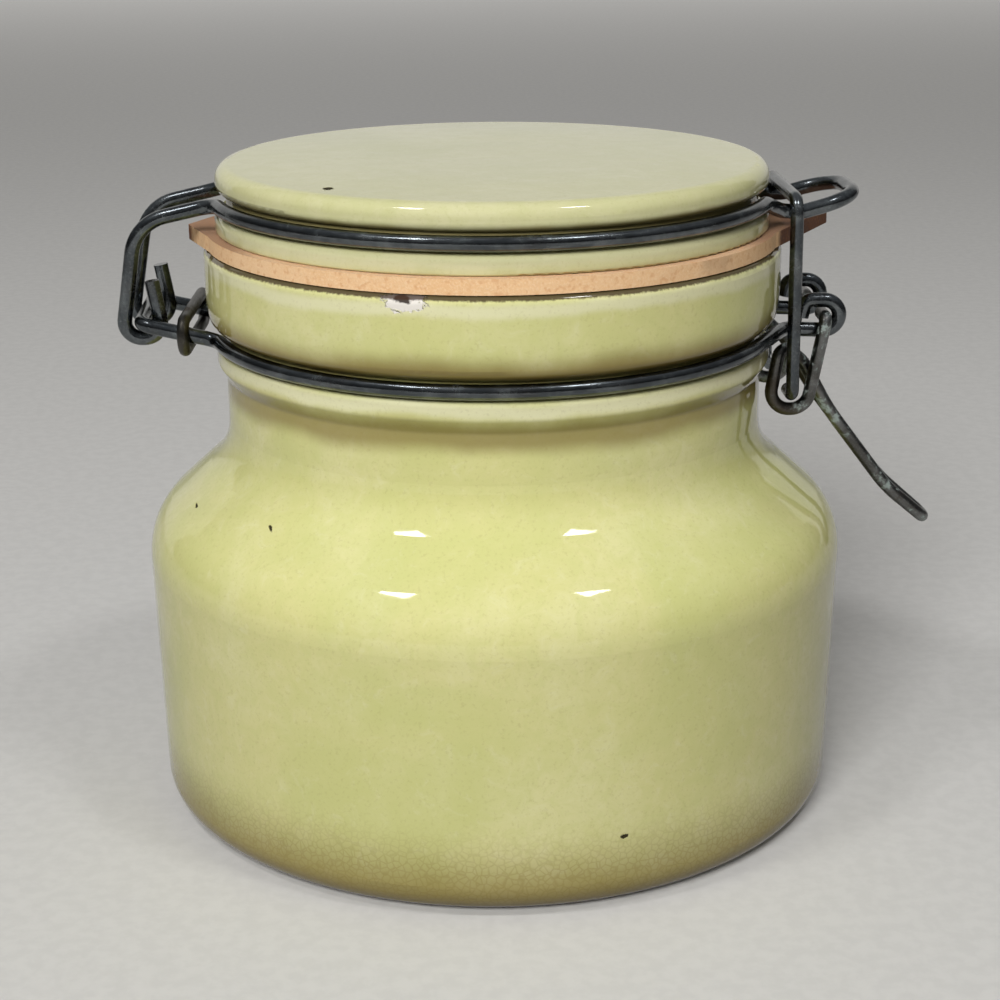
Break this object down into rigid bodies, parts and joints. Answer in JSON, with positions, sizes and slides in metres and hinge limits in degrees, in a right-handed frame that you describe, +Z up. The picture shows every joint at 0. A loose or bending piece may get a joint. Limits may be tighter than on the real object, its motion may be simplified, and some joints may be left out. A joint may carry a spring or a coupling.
{
  "type": "clip-top storage jar",
  "caption": "Squat round stoneware canister with a hinged ceramic lid, a rubber seal and a wire clamp that closes over the lid's front loop.",
  "frame": {"origin": "centre of the flat underside", "axes": "+Z up through the lid, +X towards the clamp, -X towards the lid's hinge"},
  "size_m": [0.1536, 0.1316, 0.1215],
  "materials": {
    "glaze": "glossy pale yellow-green glaze",
    "lid_glaze": "glossy pale greyish yellow glaze",
    "seal": "matt salmon rubber with a fine grain",
    "wire": "dark tarnished steel wire with bright worn streaks"
  },
  "bodies": {
    "jar": {"jar_body": "glaze", "neck_wire": "wire", "hinge_collar": "wire"},
    "lid": {"lid": "lid_glaze", "gasket": "seal", "lid_wire": "wire"},
    "lever": {"lever": "wire"},
    "bail": {"bail": "wire"}
  },
  "joints": [
    {"name": "lid_hinge", "type": "hinge", "parent": "jar", "child": "lid", "pos_m": [-0.0644, 0, 0.0933], "axis": [0, -1, 0], "range_deg": [0, 180]},
    {"name": "lever_pivot", "type": "hinge", "parent": "jar", "child": "lever", "pos_m": [0.0607, 0, 0.0924], "axis": [0, -1, 0], "range_deg": [0, 84]},
    {"name": "bail_swing", "type": "hinge", "parent": "jar", "child": "bail", "pos_m": [0.0541, 0, 0.1148], "axis": [0, -1, 0], "range_deg": [0, 33]}
  ],
  "couplings": [
    {"joint": "bail_swing", "follows": "lever_pivot", "ratio": 0.39}
  ]
}
